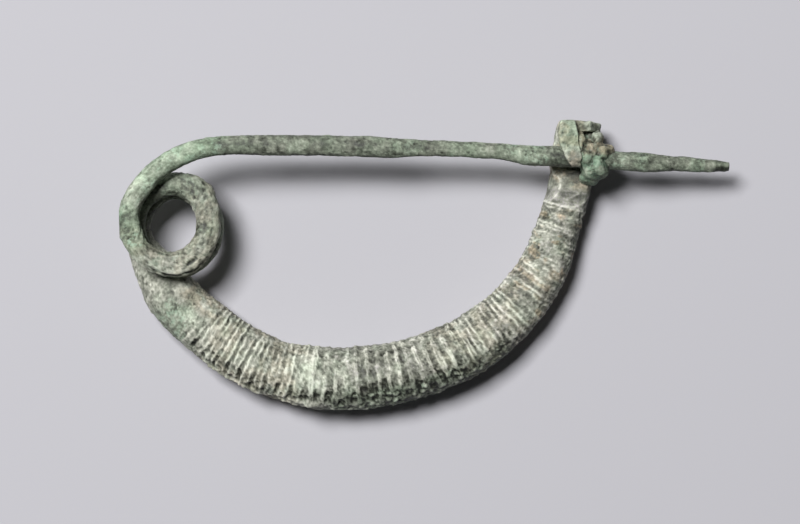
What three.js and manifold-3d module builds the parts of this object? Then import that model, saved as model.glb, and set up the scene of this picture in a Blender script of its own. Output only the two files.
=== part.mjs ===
// Bow fibula (brooch) of one drawn-out bar of bronze, lying on its side.
// Millimetres, +Z up. +X runs along the pin towards its broken tip, +Y from the
// bow towards the pin. The origin is on the ground, in the middle of the footprint.
import * as THREE from 'three';
import { mergeVertices } from 'three/addons/utils/BufferGeometryUtils.js';
import Module from 'manifold-3d';

const DEG = Math.PI / 180;

// ---- bow: an arc in plan, swollen in the middle, round in section ----
const BOW_CENTRE = [-7.68, 15.93];      // centre of the arc in plan
const BOW_RADIUS = 33.34;               // mean radius of the arc
const BOW_END = -140.0;                 // degrees, at the shoulder under the spring
// [angle, how far the arc wanders from its mean radius, thickness across]
const BOW_SHAPE = [
  [-4, 0.05, 6.35], [-9, -0.10, 6.35], [-15, -0.34, 6.30], [-22, -0.25, 6.70], [-30, 0.22, 7.35],
  [-42, 0.30, 7.95], [-56, 0.15, 8.65], [-70, -0.20, 8.95], [-84, -0.30, 9.20], [-97, 0.02, 9.20],
  [-108, 0.22, 8.45], [-120, 0.02, 8.40], [-128, -0.18, 8.30], [-140, 0.13, 8.00],
];
const SINK = 0.10;                      // how far the worn underside is cut into the round
const REST_FLAT = 2.4;                  // width of that worn flat at the bow's middle

// ---- ribs: bands across the bow, each with two edges and a shallow channel between them ----
const RIB_FIRST = -13.4;                // degrees, the edge that ends the plain foot
const RIB_LAST = -134.0;                // degrees, last rib before the smooth shoulder
// [angle, degrees from rib to rib, depth of the channel as a share of the rib's height]
const RIB_SPACING = [[-13, 2.75, 0.45], [-45, 3.05, 0.45], [-62, 2.75, 0.20], [-88, 2.70, 0.15], [-100, 3.10, 0.40], [-135, 3.20, 0.45]];
const RIB_TOP = 0.54;                   // width of a band, as a share of the spacing
const RIB_HEIGHT = 0.36;                // edge to groove

// ---- shoulder: from the bow's end down to the wire of the spring ----
// [x, y, z, thickness across, thickness upwards]
const SHOULDER = [
  [-34.45, -4.10, 3.92, 7.70, 7.8], [-35.50, -2.45, 3.92, 7.00, 7.1], [-36.58, -0.75, 3.92, 6.20, 6.2],
  [-37.60, 0.95, 3.95, 5.15, 5.2], [-38.36, 2.60, 4.02, 4.30, 4.3], [-38.62, 4.30, 4.12, 3.45, 3.6],
];

// ---- spring: two turns of wire, each turn a little aside of the one below ----
const TURNS = 2;
const COIL_RADIUS = [5.60, 6.0];        // along X and along Y
const COIL_BASE = [-33.05, 4.60];       // middle of the spring where it starts
const COIL_LEAN = [-0.45, 0.66];        // how far each turn moves that middle
const COIL_Z = 4.2;                     // height of the wire's middle at the start
const COIL_PITCH = 3.5;                 // rise of each turn
const WIRE = [3.15, 3.08];              // wire of the spring: across, upwards
const COIL_STEPS = 21;                  // rings in a turn
const COIL_CRUST = [[1.36, 0.55], [1.68, 0.40]];   // [turn, thickness] of the crust grown on the spring's outer side

// ---- pin: bends off the spring, runs straight over the foot, tapers to a break ----
// [x, y, z, thickness]
const PIN = [
  [-39.35, 8.40, 11.32, 3.05], [-37.32, 11.55, 11.48, 3.05], [-34.40, 14.18, 11.50, 3.00], [-30.70, 16.08, 11.40, 2.90],
  [-26.04, 17.04, 11.15, 2.85], [-20.00, 17.12, 10.80, 3.00], [-7.60, 17.00, 10.24, 3.05], [-1.50, 16.72, 9.99, 3.00],
  [2.60, 16.68, 9.85, 2.45], [10.90, 16.45, 9.50, 2.35], [14.98, 16.16, 9.32, 2.45], [19.10, 15.66, 9.15, 2.90],
  [26.17, 15.44, 8.85, 3.00], [32.60, 14.92, 8.12, 2.70], [36.20, 14.68, 7.68, 2.88], [38.20, 14.50, 7.45, 2.50],
  [40.00, 14.49, 7.25, 2.22], [42.00, 14.44, 7.05, 2.22], [44.00, 14.27, 6.84, 1.95], [46.10, 14.17, 6.60, 1.88],
  [48.10, 14.06, 6.40, 1.50],
];
const PIN_TIP = [48.72, 14.04, 6.33, 1.15];
const PIN_STEP = 3.2;                   // longest stretch between rings of the pin

// ---- catch: the foot spread to a plate, turned up at its end and bent back over the pin ----
const CATCH_PLAN = [                     // outline of the plate from above
  [22.75, 12.6], [22.35, 14.2], [22.60, 16.9], [23.20, 19.4], [23.55, 20.88], [25.30, 20.88], [29.80, 20.50], [29.45, 17.2],
  [28.90, 14.2], [28.30, 12.6],
];
const WALL_RIGHT = 27.90;               // from here the turned-up end falls away
const CATCH_END = 20.88;                // far end of the plate
const CATCH_ROOT = 12.6;                // where the plate grows out of the foot
const PLATE_TOP = 5.85, PLATE_UNDER = 2.6;
const WALL = 1.75;                      // thickness of the turned-up end
const FLAP = [10.65, 11.95];            // under and top of the flap
const FLAP_END = 13.75;                 // end of the flap, curled down past the pin
const WALL_BROKEN = 9.6;                // height left of the wall where the flap is lost

// ---- corrosion lump that holds the pin in the catch ----
// [x, y, z, half sizes along X, Y, Z]
const LUMPS = [
  [28.75, 14.20, 7.60, 2.25, 2.15, 3.30],
  [29.75, 16.10, 8.40, 1.65, 1.35, 2.10],
  [28.10, 12.75, 6.50, 1.60, 1.45, 2.30],
  [27.25, 15.70, 9.00, 1.70, 1.70, 2.25],
  [29.00, 18.25, 7.70, 0.95, 1.15, 2.05],
  [26.45, 17.85, 9.00, 0.95, 1.35, 2.30],
  [27.75, 18.20, 6.80, 0.95, 1.05, 1.75],
];
const SMALL_LUMPS_FROM = 1;      // from here on the smaller crumbs of crust, cut with fewer facets

const SIDES = 16;

// ---------------------------------------------------------------- helpers

function smooth(t) { return t <= 0 ? 0 : t >= 1 ? 1 : t * t * (3 - 2 * t); }

// value of a table at a key, eased between its rows
function look(table, key, column) {
  const up = table[0][0] < table[table.length - 1][0];
  for (let i = 1; i < table.length; i++) {
    const a = table[i - 1], b = table[i];
    if (up ? key <= b[0] : key >= b[0]) {
      const t = Math.min(1, Math.max(0, (key - a[0]) / (b[0] - a[0])));
      return a[column] + (b[column] - a[column]) * smooth(t);
    }
  }
  return table[table.length - 1][column];
}

// small repeatable unevenness, -1 to 1
function uneven(i, seed) {
  const v = Math.sin(i * 12.9898 + seed * 78.233) * 43758.5453;
  return 2 * (v - Math.floor(v)) - 1;
}

function solid(geometry) {
  const g = geometry.clone();
  g.deleteAttribute('normal');
  g.deleteAttribute('uv');
  const m = mergeVertices(g, 1e-5);
  return new wasm.Manifold(new wasm.Mesh({
    numProp: 3,
    vertProperties: new Float32Array(m.attributes.position.array),
    triVerts: new Uint32Array(m.index.array),
  }));
}

const wasm = await Module();
wasm.setup();

// ---------------------------------------------------------------- stations along the bar
// Each station: middle, half thickness across and upwards, squareness, rib height, rest flag.
const stations = [];

function bowPoint(angle) {
  const r = BOW_RADIUS + look(BOW_SHAPE, angle, 1);
  const half = look(BOW_SHAPE, angle, 2) / 2;
  return {
    p: new THREE.Vector3(BOW_CENTRE[0] + r * Math.cos(angle * DEG), BOW_CENTRE[1] + r * Math.sin(angle * DEG), half - SINK),
    a: half, b: half, n: 2, rib: 0, rest: 1,
  };
}

// plain foot, squared off with a bevel along each side
for (const angle of [-4, -6, -8, -10.5, -12.4]) {
  stations.push({ ...bowPoint(angle), n: 3.6 - 0.9 * smooth((-8 - angle) / 6) });
}
// ribs: edge, channel, edge, groove ...
for (let i = 0, edge = RIB_FIRST; edge > RIB_LAST; i++) {
  const pitch = look(RIB_SPACING, edge, 1);
  const worn = 0.3 + 0.7 * smooth((edge - RIB_LAST) / 14);
  const height = RIB_HEIGHT * worn * (1 + 0.2 * uneven(i, 2));
  const top = RIB_TOP * (1 + 0.10 * uneven(i, 1));
  stations.push({ ...bowPoint(edge), rib: height * 0.5 });
  stations.push({ ...bowPoint(edge - pitch * top / 2), rib: height * (0.5 - look(RIB_SPACING, edge, 2)) });
  stations.push({ ...bowPoint(edge - pitch * top), rib: height * 0.46 });
  stations.push({ ...bowPoint(edge - pitch * (1 + top) / 2), rib: -height / 2 });
  edge -= pitch;
}
stations.push(bowPoint(-137.5), bowPoint(BOW_END));

// shoulder, spring and pin follow one smooth line
const line = [];
const add = (x, y, z, a, b) => line.push({ p: new THREE.Vector3(x, y, z), a: a / 2, b: b / 2 });
for (const [x, y, z, a, b] of SHOULDER) add(x, y, z, a, b);
for (let k = 0; k <= TURNS * COIL_STEPS; k++) {
  const turn = k / COIL_STEPS, t = Math.PI - 2 * Math.PI * turn;
  const puff = 1 + 0.10 * smooth((turn - 1.05) / 0.2) * smooth((1.95 - turn) / 0.2) + 0.03 * uneven(k, 5);
  let crust = 0;
  for (const [at, height] of COIL_CRUST) crust += height * Math.exp(-(((turn - at) / 0.08) ** 2));
  add(COIL_BASE[0] + COIL_LEAN[0] * turn + (COIL_RADIUS[0] + crust / 2) * Math.cos(t),
    COIL_BASE[1] + COIL_LEAN[1] * turn + (COIL_RADIUS[1] + crust / 2) * Math.sin(t),
    COIL_Z + COIL_PITCH * turn, WIRE[0] * puff + crust, WIRE[1]);
}
const pinCurve = new THREE.CatmullRomCurve3(
  [line[line.length - 2].p, line[line.length - 1].p, ...PIN.map((q) => new THREE.Vector3(q[0], q[1], q[2]))], false, 'centripetal');
const keys = PIN.length + 1;
let before = WIRE[0];
for (let i = 0; i < PIN.length; i++) {
  const from = (i + 1) / keys, to = (i + 2) / keys;
  const gap = i === 0 ? pinCurve.points[1].distanceTo(pinCurve.points[2]) : pinCurve.points[i + 1].distanceTo(pinCurve.points[i + 2]);
  const cuts = Math.max(1, Math.ceil(gap / PIN_STEP));
  for (let c = 1; c <= cuts; c++) {
    const s = c / cuts, q = pinCurve.getPoint(from + (to - from) * s);
    const d = before + (PIN[i][3] - before) * s;
    add(q.x, q.y, q.z, d * (1 + 0.03 * uneven(i * 7 + c, 6)), d);
  }
  before = PIN[i][3];
}
add(...PIN_TIP, PIN_TIP[3]);
for (const q of line) stations.push({ ...q, n: 2.2, rib: 0, rest: 0 });

// ---------------------------------------------------------------- bar: a cylinder laid along the stations
const bar = new THREE.CylinderGeometry(1, 1, 1, SIDES, stations.length - 1, false);
{
  const up = new THREE.Vector3(0, 0, 1), along = new THREE.Vector3(), across = new THREE.Vector3(), v = new THREE.Vector3();
  const pos = bar.attributes.position;
  const last = stations.length - 1;
  for (let i = 0; i < pos.count; i++) {
    v.fromBufferAttribute(pos, i);
    const k = Math.round((v.y + 0.5) * last), st = stations[k];
    along.subVectors(stations[Math.min(last, k + 1)].p, stations[Math.max(0, k - 1)].p).setZ(0).normalize();
    across.crossVectors(along, up).normalize();
    const r = Math.hypot(v.x, v.z);
    if (r < 0.5) { pos.setXYZ(i, st.p.x, st.p.y, st.p.z); continue; }
    const side = Math.round(Math.atan2(v.x, v.z) / (2 * Math.PI) * SIDES);
    const turn = (side + 0.5) / SIDES * 2 * Math.PI;            // 0 is straight up
    const s = Math.sin(turn), c = Math.cos(turn), e = 2 / st.n;
    // ribs stand on the upper side, are weaker on both flanks and die out underneath
    const rib = st.rib * (0.95 * smooth((c + 0.45) / 1.0) + 0.05 * smooth((c + 0.9) / 0.3));
    const a = st.a + rib, b = st.b + rib;
    let x = a * Math.sign(s) * Math.abs(s) ** e, z = st.p.z + b * Math.sign(c) * Math.abs(c) ** e;
    if (st.rest && c < -0.97) { x = Math.sign(s) * REST_FLAT / 2 * st.a / 4.6; z = 0; }
    pos.setXYZ(i, st.p.x + across.x * x, st.p.y + across.y * x, z);
  }
}

// ---------------------------------------------------------------- catch
function slab(points, depth) {                                    // outline in Y and Z, drawn out along X
  const shape = new THREE.Shape(points.map(([y, z]) => new THREE.Vector2(y, z)));
  const g = new THREE.ExtrudeGeometry(shape, { depth, bevelEnabled: false, curveSegments: 6 });
  g.applyMatrix4(new THREE.Matrix4().makeBasis(new THREE.Vector3(0, 1, 0), new THREE.Vector3(0, 0, 1), new THREE.Vector3(1, 0, 0)));
  return g;
}
function prism(points, z0, z1) {                                  // outline in X and Y, drawn out along Z
  const shape = new THREE.Shape(points.map(([x, y]) => new THREE.Vector2(x, y)));
  const g = new THREE.ExtrudeGeometry(shape, { depth: z1 - z0, bevelEnabled: false });
  g.translate(0, 0, z0);
  return g;
}
const bend = [];                                                  // outer and inner round of the turned-up end
const outerR = 2.3, innerR = 0.7, steps = 5;
bend.push([CATCH_ROOT, 1.6], [CATCH_ROOT + 2.4, PLATE_UNDER - 0.4], [CATCH_END - outerR, PLATE_UNDER]);
for (let i = 1; i <= steps; i++) {
  const t = i / steps * Math.PI / 2;
  bend.push([CATCH_END - outerR + outerR * Math.sin(t), PLATE_UNDER + outerR * (1 - Math.cos(t))]);
}
for (let i = 0; i <= steps; i++) {
  const t = i / steps * Math.PI / 2;
  bend.push([CATCH_END - 1.9 + 1.9 * Math.cos(t), FLAP[1] - 1.9 + 1.9 * Math.sin(t)]);
}
bend.push([FLAP_END + 2.6, FLAP[1] - 0.05], [FLAP_END + 1.2, FLAP[1] - 0.55], [FLAP_END + 0.3, FLAP[1] - 1.25], [FLAP_END, FLAP[1] - 1.95],
  [FLAP_END + 0.25, FLAP[0] - 1.15], [FLAP_END + 0.9, FLAP[0] - 0.65], [FLAP_END + 1.9, FLAP[0] - 0.30], [FLAP_END + 2.9, FLAP[0] - 0.10]);
for (let i = 0; i <= 3; i++) {
  const t = i / 3 * Math.PI / 2;
  bend.push([CATCH_END - WALL - innerR + innerR * Math.sin(t), FLAP[0] - innerR + innerR * Math.cos(t)]);
}
for (let i = 0; i <= 3; i++) {
  const t = i / 3 * Math.PI / 2;
  bend.push([CATCH_END - WALL - innerR + innerR * Math.cos(t), PLATE_TOP + innerR * (1 - Math.sin(t))]);
}
bend.push([CATCH_ROOT, PLATE_TOP]);
const X0 = 21, X1 = 31;
const channel = slab(bend, X1 - X0);
channel.translate(X0, 0, 0);
const outline = prism(CATCH_PLAN, 0.5, FLAP[1] + 1);

// what is broken away: all of the flap but its left strip, and the wall down to a slanting stump
const lostRight = prism([[25.30, CATCH_END + 1], [26.15, 18.6], [26.20, 17.2], [26.60, 15.7], [26.60, 13.0], [X1, 13.0], [X1, CATCH_END + 1]], WALL_BROKEN, FLAP[1] + 1);
const lostLeft = prism([[X0, 18.7], [23.15, 18.7], [23.42, 17.1], [24.3, 15.1], [25.2, 13.9], [25.2, 13.0], [X0, 13.0]], PLATE_TOP + 0.9, FLAP[1] + 1);
const fall = new THREE.ExtrudeGeometry(new THREE.Shape(            // the stump falls away to the right
  [[WALL_RIGHT, WALL_BROKEN + 0.1], [WALL_RIGHT + 1.75, PLATE_TOP + 0.6], [X1, PLATE_TOP + 0.6], [X1, 14], [WALL_RIGHT, 14]]
    .map(([x, z]) => new THREE.Vector2(x, z))), { depth: 10, bevelEnabled: false });
fall.applyMatrix4(new THREE.Matrix4().makeBasis(new THREE.Vector3(1, 0, 0), new THREE.Vector3(0, 0, 1), new THREE.Vector3(0, -1, 0)));
fall.translate(0, 24, 0);

// ---------------------------------------------------------------- join
let whole = solid(bar).add(
  solid(channel).intersect(solid(outline)).subtract(solid(lostRight)).subtract(solid(lostLeft)).subtract(solid(fall)));
LUMPS.forEach(([x, y, z, a, b, c], n) => {
  const g = new THREE.IcosahedronGeometry(1, n < SMALL_LUMPS_FROM ? 2 : 1);
  const pos = g.attributes.position, v = new THREE.Vector3();
  for (let i = 0; i < pos.count; i++) {
    v.fromBufferAttribute(pos, i);
    const knob = 1 + 0.07 * Math.sin(5.1 * v.x + 2.3 * v.y + n) + 0.06 * Math.sin(4.3 * v.y - 3.7 * v.z + 2 * n) + 0.04 * Math.sin(7.9 * v.z + 6.1 * v.x);
    pos.setXYZ(i, x + a * knob * v.x, y + b * knob * v.y, z + c * knob * v.z);
  }
  whole = whole.add(solid(g));
});

const out = whole.getMesh();
const fibulaGeometry = new THREE.BufferGeometry();
fibulaGeometry.setAttribute('position', new THREE.BufferAttribute(new Float32Array(out.vertProperties), 3));
fibulaGeometry.setIndex(new THREE.BufferAttribute(new Uint32Array(out.triVerts), 1));
fibulaGeometry.computeBoundingBox();
const box = fibulaGeometry.boundingBox;
fibulaGeometry.translate(-(box.min.x + box.max.x) / 2, -(box.min.y + box.max.y) / 2, 0);
fibulaGeometry.computeVertexNormals();

const bronze = new THREE.MeshStandardMaterial({ color: 0x7d8471, roughness: 0.8, metalness: 0.15 });
const fibula = new THREE.Mesh(fibulaGeometry, bronze);
fibula.name = 'fibula';

const group = new THREE.Group();
group.add(fibula);
export default group;
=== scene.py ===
import bmesh
import bpy
import math
import numpy as np
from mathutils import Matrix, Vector
from mathutils.kdtree import KDTree


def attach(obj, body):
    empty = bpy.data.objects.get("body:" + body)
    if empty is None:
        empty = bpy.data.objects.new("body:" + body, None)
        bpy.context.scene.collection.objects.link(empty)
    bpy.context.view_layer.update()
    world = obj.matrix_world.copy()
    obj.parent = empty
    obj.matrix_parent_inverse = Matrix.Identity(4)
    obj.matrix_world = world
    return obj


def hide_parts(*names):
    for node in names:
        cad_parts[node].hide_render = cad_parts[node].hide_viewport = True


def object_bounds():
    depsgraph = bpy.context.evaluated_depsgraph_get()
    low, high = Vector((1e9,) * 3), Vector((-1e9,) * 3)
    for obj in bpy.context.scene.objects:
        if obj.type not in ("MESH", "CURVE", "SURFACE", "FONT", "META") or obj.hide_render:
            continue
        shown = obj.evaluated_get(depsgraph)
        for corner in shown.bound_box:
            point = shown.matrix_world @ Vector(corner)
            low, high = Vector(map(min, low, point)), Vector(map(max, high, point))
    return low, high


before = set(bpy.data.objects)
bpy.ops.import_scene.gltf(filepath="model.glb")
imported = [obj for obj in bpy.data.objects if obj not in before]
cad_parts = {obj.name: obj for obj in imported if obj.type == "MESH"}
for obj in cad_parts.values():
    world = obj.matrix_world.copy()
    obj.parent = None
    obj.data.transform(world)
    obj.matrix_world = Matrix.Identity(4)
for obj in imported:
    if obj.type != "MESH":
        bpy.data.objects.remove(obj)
CAD_LO, CAD_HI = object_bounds()
BOX_MARGIN = 0.00004

# ------------------------------------------------------------------ sizes, in millimetres
# The same named sizes as the solid model. SHIFT takes the drawing frame to the part's frame.
SHIFT = np.array([3.822409, -0.536239, 0.0])
BOW_CENTRE = (-7.68, 15.93)
BOW_RADIUS = 33.34
BOW_SHAPE = [
    (-4, 0.05, 6.35), (-9, -0.10, 6.35), (-15, -0.34, 6.30), (-22, -0.25, 6.70), (-30, 0.22, 7.35),
    (-42, 0.30, 7.95), (-56, 0.15, 8.65), (-70, -0.20, 8.95), (-84, -0.30, 9.20), (-97, 0.02, 9.20),
    (-108, 0.22, 8.45), (-120, 0.02, 8.40), (-128, -0.18, 8.30), (-140, 0.13, 8.00),
]
SINK = 0.10
RIB_FIRST, RIB_LAST = -13.4, -134.0
RIB_SPACING = [(-13, 2.75, 0.45), (-45, 3.05, 0.45), (-62, 2.75, 0.20), (-88, 2.70, 0.15), (-100, 3.10, 0.40), (-135, 3.20, 0.45)]
RIB_TOP, RIB_HEIGHT = 0.54, 0.36
SHOULDER = [
    (-34.45, -4.10, 3.92, 7.70, 7.8), (-35.50, -2.45, 3.92, 7.00, 7.1), (-36.58, -0.75, 3.92, 6.20, 6.2),
    (-37.60, 0.95, 3.95, 5.15, 5.2), (-38.36, 2.60, 4.02, 4.30, 4.3), (-38.62, 4.30, 4.12, 3.45, 3.6),
]
TURNS = 2
COIL_RADIUS, COIL_BASE, COIL_LEAN = (5.60, 6.0), (-33.05, 4.60), (-0.45, 0.66)
COIL_Z, COIL_PITCH = 4.2, 3.5
WIRE = (3.15, 3.08)
PIN = [
    (-39.35, 8.40, 11.32, 3.05), (-37.32, 11.55, 11.48, 3.05), (-34.40, 14.18, 11.50, 3.00), (-30.70, 16.08, 11.40, 2.90),
    (-26.04, 17.04, 11.15, 2.85), (-20.00, 17.12, 10.80, 3.00), (-7.60, 17.00, 10.24, 3.05), (-1.50, 16.72, 9.99, 3.00),
    (2.60, 16.68, 9.85, 2.45), (10.90, 16.45, 9.50, 2.35), (14.98, 16.16, 9.32, 2.45), (19.10, 15.66, 9.15, 2.90),
    (26.17, 15.44, 8.85, 3.00), (32.60, 14.92, 8.12, 2.70), (36.20, 14.68, 7.68, 2.88), (38.20, 14.50, 7.45, 2.50),
    (40.00, 14.49, 7.25, 2.22), (42.00, 14.44, 7.05, 2.22), (44.00, 14.27, 6.84, 1.95), (46.10, 14.17, 6.60, 1.88),
    (48.10, 14.06, 6.40, 1.50), (48.66, 14.04, 6.33, 1.15),
]
CATCH_PLAN = [
    (22.75, 12.6), (22.35, 14.2), (22.60, 16.9), (23.20, 19.4), (23.55, 20.88), (25.30, 20.88), (29.80, 20.50), (29.45, 17.2),
    (28.90, 14.2), (28.30, 12.6),
]
WALL_RIGHT, CATCH_END, CATCH_ROOT = 27.90, 20.88, 12.6
PLATE_TOP, PLATE_UNDER, WALL = 5.85, 2.6, 1.75
FLAP, FLAP_END, WALL_BROKEN = (10.65, 11.95), 13.75, 9.6
LUMPS = [
    (28.75, 14.20, 7.60, 2.25, 2.15, 3.30),
    (29.75, 16.10, 8.40, 1.65, 1.35, 2.10),
    (28.10, 12.75, 6.50, 1.60, 1.45, 2.30),
    (27.25, 15.70, 9.00, 1.70, 1.70, 2.25),
    (29.00, 18.25, 7.70, 0.95, 1.15, 2.05),
    (26.45, 17.85, 9.00, 0.95, 1.35, 2.30),
    (27.75, 18.20, 6.80, 0.95, 1.05, 1.75),
]

# crust that runs flush with the catch's tongue, thinner than the solid model shows
CRUST = [
    (26.35, 16.50, 9.15, 1.10, 2.50, 2.20),
    (28.00, 16.70, 8.50, 1.50, 1.30, 2.00),
    (30.45, 16.25, 8.10, 1.15, 1.15, 1.60),
]

# ------------------------------------------------------------------ helpers


def smooth(t):
    t = np.clip(t, 0.0, 1.0)
    return t * t * (3 - 2 * t)


def band(x, lo, hi, soft):
    """1 between lo and hi, easing to 0 over soft outside them."""
    return smooth((x - lo) / soft + 1) * smooth((hi - x) / soft + 1)


def look(table, key, column):
    key = np.asarray(key, float)
    rows = sorted(table)
    out = np.full(key.shape, rows[0][column], float)
    for a, b in zip(rows, rows[1:]):
        t = smooth((key - a[0]) / (b[0] - a[0]))
        out = np.where(key >= a[0], a[column] + (b[column] - a[column]) * t, out)
    return out


def uneven(i, seed):
    v = math.sin(i * 12.9898 + seed * 78.233) * 43758.5453
    return 2 * (v - math.floor(v)) - 1


def lattice(ix, iy, iz, seed):
    """A repeatable number in 0..1 for each lattice point."""
    h = (ix.astype(np.int64) * 73856093) ^ (iy.astype(np.int64) * 19349663) ^ (iz.astype(np.int64) * 83492791) ^ (seed * 2654435761)
    h &= 0xFFFFFFFF
    h = ((h ^ (h >> 15)) * 2246822519) & 0xFFFFFFFF
    h = ((h ^ (h >> 13)) * 3266489917) & 0xFFFFFFFF
    h ^= h >> 16
    return h.astype(np.float64) / 4294967295.0


def noise(p, size, seed=0):
    """Smooth value noise, about -1 to 1; size is the length of one lump in p's units."""
    q = p / size + 37.17
    i = np.floor(q).astype(np.int64)
    f = q - i
    u = f * f * f * (f * (f * 6 - 15) + 10)
    total = 0.0
    for dx in (0, 1):
        for dy in (0, 1):
            for dz in (0, 1):
                w = (u[:, 0] if dx else 1 - u[:, 0]) * (u[:, 1] if dy else 1 - u[:, 1]) * (u[:, 2] if dz else 1 - u[:, 2])
                total = total + w * lattice(i[:, 0] + dx, i[:, 1] + dy, i[:, 2] + dz, seed)
    return (total * 2 - 1) * 1.25


def fbm(p, size, octaves=4, seed=0, gain=0.5):
    total, amp, norm = 0.0, 1.0, 0.0
    for o in range(octaves):
        total = total + amp * noise(p, size / 2**o, seed + 11 * o)
        norm += amp
        amp *= gain
    return total / norm


def cells(p, size, seed=0, jitter=0.9):
    """Distance to the nearest scattered point, in cell sizes, and that point's own number."""
    q = p / size + 51.3
    i = np.floor(q).astype(np.int64)
    best = np.full(len(p), 9.0)
    mark = np.zeros(len(p))
    for dx in (-1, 0, 1):
        for dy in (-1, 0, 1):
            for dz in (-1, 0, 1):
                jx, jy, jz = i[:, 0] + dx, i[:, 1] + dy, i[:, 2] + dz
                cx = jx + 0.5 + jitter * (lattice(jx, jy, jz, seed + 1) - 0.5)
                cy = jy + 0.5 + jitter * (lattice(jx, jy, jz, seed + 2) - 0.5)
                cz = jz + 0.5 + jitter * (lattice(jx, jy, jz, seed + 3) - 0.5)
                d = np.sqrt((q[:, 0] - cx) ** 2 + (q[:, 1] - cy) ** 2 + (q[:, 2] - cz) ** 2)
                near = d < best
                best = np.where(near, d, best)
                mark = np.where(near, lattice(jx, jy, jz, seed + 4), mark)
    return best, mark


# ------------------------------------------------------------------ the bar's middle line
rows = []            # x, y, z, half across, half upwards, squareness
for angle in np.arange(-4.0, -140.01, -2.0):
    r = BOW_RADIUS + float(look(BOW_SHAPE, angle, 1))
    half = float(look(BOW_SHAPE, angle, 2)) / 2
    n = 3.6 - 0.9 * float(smooth((-8 - angle) / 6)) if angle > -13 else 2.0 + 0.7 * float(smooth((angle + 18) / 5))
    rows.append((BOW_CENTRE[0] + r * math.cos(math.radians(angle)), BOW_CENTRE[1] + r * math.sin(math.radians(angle)), half - SINK, half, half, n))
n_bow = len(rows)
for x, y, z, a, b in SHOULDER:
    rows.append((x, y, z, a / 2, b / 2, 2.1))
n_shoulder = len(rows)
STEPS = 21
COIL_CRUST = [(1.36, 0.55), (1.68, 0.40)]
for k in range(TURNS * STEPS + 1):
    turn = k / STEPS
    t = math.pi - 2 * math.pi * turn
    puff = 1 + 0.10 * float(smooth((turn - 1.05) / 0.2) * smooth((1.95 - turn) / 0.2)) + 0.03 * uneven(k, 5)
    crust = sum(h * math.exp(-(((turn - at) / 0.08) ** 2)) for at, h in COIL_CRUST)
    rows.append((COIL_BASE[0] + COIL_LEAN[0] * turn + (COIL_RADIUS[0] + crust / 2) * math.cos(t), COIL_BASE[1] + COIL_LEAN[1] * turn + (COIL_RADIUS[1] + crust / 2) * math.sin(t),
                 COIL_Z + COIL_PITCH * turn, (WIRE[0] * puff + crust) / 2, WIRE[1] / 2, 2.2))
n_coil = len(rows)
for i, (x, y, z, d) in enumerate(PIN):
    rows.append((x, y, z, d / 2, d / 2, 2.2))
rows = np.array(rows)


def spline(table, marks, per=24):
    """A centripetal curve through the table's rows. Gives fine rows, their distance along it, and the fine index of each mark."""
    pts = np.vstack([2 * table[0] - table[1], table, 2 * table[-1] - table[-2]])
    gaps = np.linalg.norm(np.diff(pts[:, :3], axis=0), axis=1) ** 0.5
    knots = np.concatenate([[0], np.cumsum(gaps)])
    out = []
    for i in range(1, len(pts) - 2):
        t0, t1, t2, t3 = knots[i - 1 : i + 3]
        t = np.linspace(t1, t2, per, endpoint=False)[:, None]
        a1 = (t1 - t) / (t1 - t0) * pts[i - 1] + (t - t0) / (t1 - t0) * pts[i]
        a2 = (t2 - t) / (t2 - t1) * pts[i] + (t - t1) / (t2 - t1) * pts[i + 1]
        a3 = (t3 - t) / (t3 - t2) * pts[i + 1] + (t - t2) / (t3 - t2) * pts[i + 2]
        b1 = (t2 - t) / (t2 - t0) * a1 + (t - t0) / (t2 - t0) * a2
        b2 = (t3 - t) / (t3 - t1) * a2 + (t - t1) / (t3 - t1) * a3
        out.append((t2 - t) / (t2 - t1) * b1 + (t - t1) / (t2 - t1) * b2)
    fine = np.vstack([*out, table[-1][None]])
    along = np.concatenate([[0], np.cumsum(np.linalg.norm(np.diff(fine[:, :3], axis=0), axis=1))])
    return fine, along, [along[m * per] for m in marks]


fine, along, (S_BOW, S_WIRE, S_COIL) = spline(rows, [n_bow - 1, n_shoulder + 1, n_coil - 1])
S_END = along[-1]


def at(s):
    return np.stack([np.interp(s, along, fine[:, c]) for c in range(6)], axis=1)


# rings: close on the ribbed bow, wider on the wire
s_bow = np.linspace(0, S_BOW, int(S_BOW / 0.132))
s_shoulder = np.linspace(S_BOW, S_WIRE, int((S_WIRE - S_BOW) / 0.20))[1:]
s_wire = np.linspace(S_WIRE, S_END, int((S_END - S_WIRE) / 0.245))[1:]
THICK_SIDES = 84


def turns(count):
    """Angles round the section, 0 straight up, closer together on the upper side."""
    t = np.linspace(-math.pi, math.pi, 4001)
    dens = 0.30 + 0.70 * smooth((math.radians(128) - np.abs(t)) / math.radians(34))
    c = np.concatenate([[0], np.cumsum((dens[1:] + dens[:-1]) / 2)])
    return np.interp((np.arange(count) + 0.0) / count * c[-1], c, t)


TURN_THICK = turns(THICK_SIDES)
TURN_WIRE = TURN_THICK[::2]


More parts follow.
